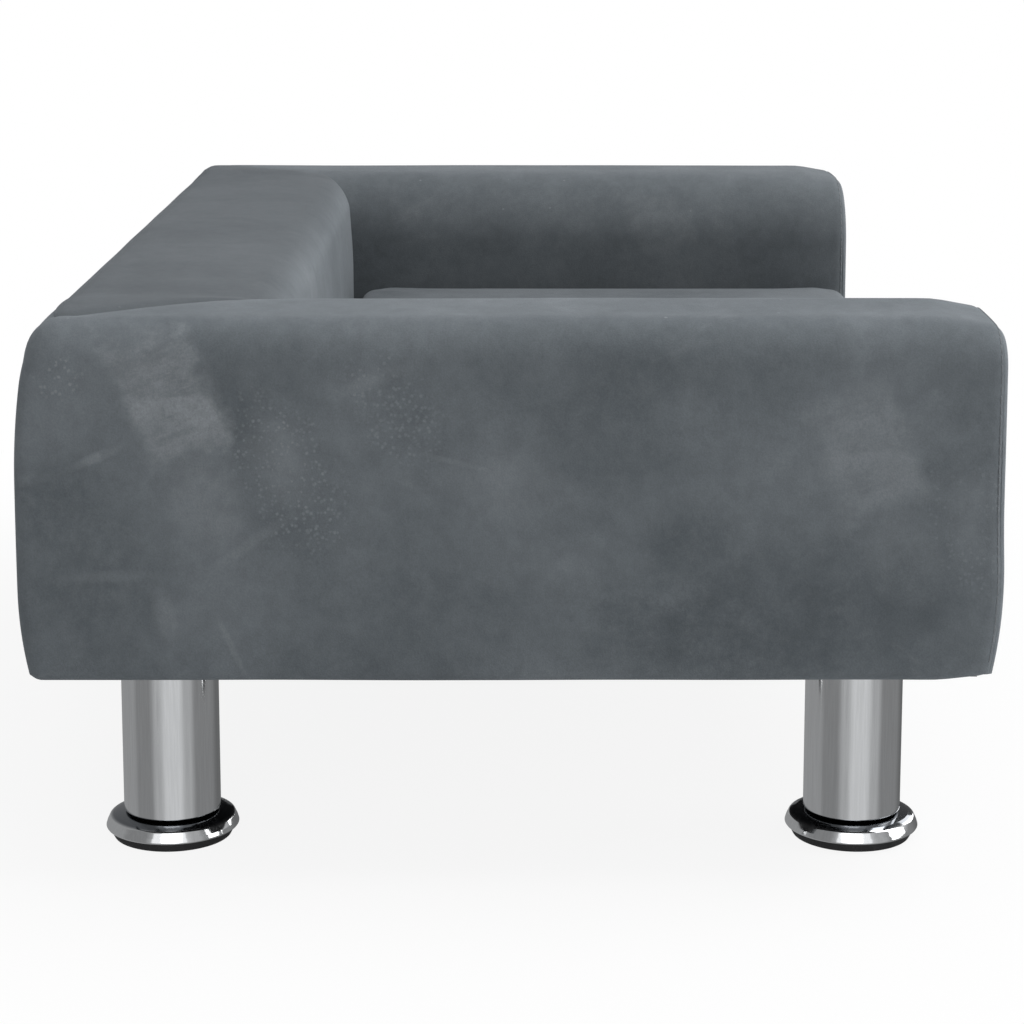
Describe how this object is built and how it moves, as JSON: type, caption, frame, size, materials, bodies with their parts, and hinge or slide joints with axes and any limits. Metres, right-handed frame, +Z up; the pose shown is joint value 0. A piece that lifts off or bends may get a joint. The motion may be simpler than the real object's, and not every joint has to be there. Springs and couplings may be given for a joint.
{
  "type": "daybed",
  "caption": "Small low daybed: box frame padded and covered in dark grey velvet, arms and back of equal height, loose seat cushion, round chrome legs on levelling feet.",
  "frame": {"origin": "on the floor, under the middle of the daybed's outline", "axes": "+X along the daybed from the left arm to the right arm, +Y towards the back rest, +Z up"},
  "size_m": [0.7, 0.45, 0.265],
  "materials": {
    "velvet": "short-pile velvet",
    "foam": "open-cell foam",
    "nonwoven": "non-woven sheet",
    "plywood": "raw sanded",
    "chrome": "polished",
    "zinc_steel": "zinc plated",
    "zip_metal": "satin",
    "rubber": "matte",
    "plastic": "matte"
  },
  "bodies": {
    "frame": {"arm_bolts": "zinc_steel", "arm_tee_nuts": "zinc_steel", "arm_top_rails": "plywood", "back_bottom_board": "plywood", "back_cover": "velvet", "back_foam": "foam", "back_front_panel": "plywood", "back_posts": "plywood", "back_rear_panel": "plywood", "back_top_rail": "plywood", "dust_cover": "nonwoven", "frame_screws": "zinc_steel", "left_arm_bottom_board": "plywood", "left_arm_cover": "velvet", "left_arm_foam": "foam", "left_arm_front_facing": "velvet", "left_arm_inner_panel": "plywood", "left_arm_outer_panel": "plywood", "left_arm_posts": "plywood", "left_front_leg_tube": "chrome", "left_rear_leg_tube": "chrome", "leg_bottom_plugs": "plastic", "leg_inserts": "zinc_steel", "leg_studs": "zinc_steel", "leg_top_caps": "plastic", "right_arm_bottom_board": "plywood", "right_arm_cover": "velvet", "right_arm_foam": "foam", "right_arm_front_facing": "velvet", "right_arm_inner_panel": "plywood", "right_arm_outer_panel": "plywood", "right_arm_posts": "plywood", "right_front_leg_tube": "chrome", "right_rear_leg_tube": "chrome", "seat_back_rail": "plywood", "seat_corner_blocks": "plywood", "seat_cover": "velvet", "seat_deck": "plywood", "seat_front_foam": "foam", "seat_front_rail": "plywood", "seat_middle_rail": "plywood", "seat_rear_rail": "plywood", "seat_side_rails": "plywood"},
    "cushion": {"cushion_cover": "velvet", "cushion_foam": "foam", "cushion_zip": "plastic"},
    "zip_slider": {"zip_slider": "zip_metal"},
    "left_front_pad": {"left_front_foot_pad": "rubber"},
    "left_front_foot": {"left_front_foot_saucer": "chrome", "left_front_foot_stud": "zinc_steel"},
    "right_front_pad": {"right_front_foot_pad": "rubber"},
    "right_front_foot": {"right_front_foot_saucer": "chrome", "right_front_foot_stud": "zinc_steel"},
    "left_rear_pad": {"left_rear_foot_pad": "rubber"},
    "left_rear_foot": {"left_rear_foot_saucer": "chrome", "left_rear_foot_stud": "zinc_steel"},
    "right_rear_pad": {"right_rear_foot_pad": "rubber"},
    "right_rear_foot": {"right_rear_foot_saucer": "chrome", "right_rear_foot_stud": "zinc_steel"}
  },
  "joints": [
    {"name": "cushion_lift", "type": "slide", "parent": "frame", "child": "cushion", "axis": [0, 0, 1], "range_m": [0, 0.15]},
    {"name": "zip_run", "type": "slide", "parent": "cushion", "child": "zip_slider", "axis": [-1, 0, 0], "range_m": [0, 0.22]},
    {"name": "left_front_foot_height", "type": "slide", "parent": "frame", "child": "left_front_pad", "axis": [0, 0, -1], "range_m": [0, 0.01]},
    {"name": "left_front_foot_turn", "type": "hinge", "parent": "left_front_pad", "child": "left_front_foot", "pos_m": [-0.2725, -0.1652, 0], "axis": [0, 0, -1], "range_deg": [0, 2880]},
    {"name": "right_front_foot_height", "type": "slide", "parent": "frame", "child": "right_front_pad", "axis": [0, 0, -1], "range_m": [0, 0.01]},
    {"name": "right_front_foot_turn", "type": "hinge", "parent": "right_front_pad", "child": "right_front_foot", "pos_m": [0.2725, -0.1652, 0], "axis": [0, 0, -1], "range_deg": [0, 2880]},
    {"name": "left_rear_foot_height", "type": "slide", "parent": "frame", "child": "left_rear_pad", "axis": [0, 0, -1], "range_m": [0, 0.01]},
    {"name": "left_rear_foot_turn", "type": "hinge", "parent": "left_rear_pad", "child": "left_rear_foot", "pos_m": [-0.2725, 0.1652, 0], "axis": [0, 0, -1], "range_deg": [0, 2880]},
    {"name": "right_rear_foot_height", "type": "slide", "parent": "frame", "child": "right_rear_pad", "axis": [0, 0, -1], "range_m": [0, 0.01]},
    {"name": "right_rear_foot_turn", "type": "hinge", "parent": "right_rear_pad", "child": "right_rear_foot", "pos_m": [0.2725, 0.1652, 0], "axis": [0, 0, -1], "range_deg": [0, 2880]}
  ],
  "couplings": [
    {"joint": "left_front_foot_height", "follows": "left_front_foot_turn", "m_per_rad": 0.00019894},
    {"joint": "right_front_foot_height", "follows": "right_front_foot_turn", "m_per_rad": 0.00019894},
    {"joint": "left_rear_foot_height", "follows": "left_rear_foot_turn", "m_per_rad": 0.00019894},
    {"joint": "right_rear_foot_height", "follows": "right_rear_foot_turn", "m_per_rad": 0.00019894}
  ]
}
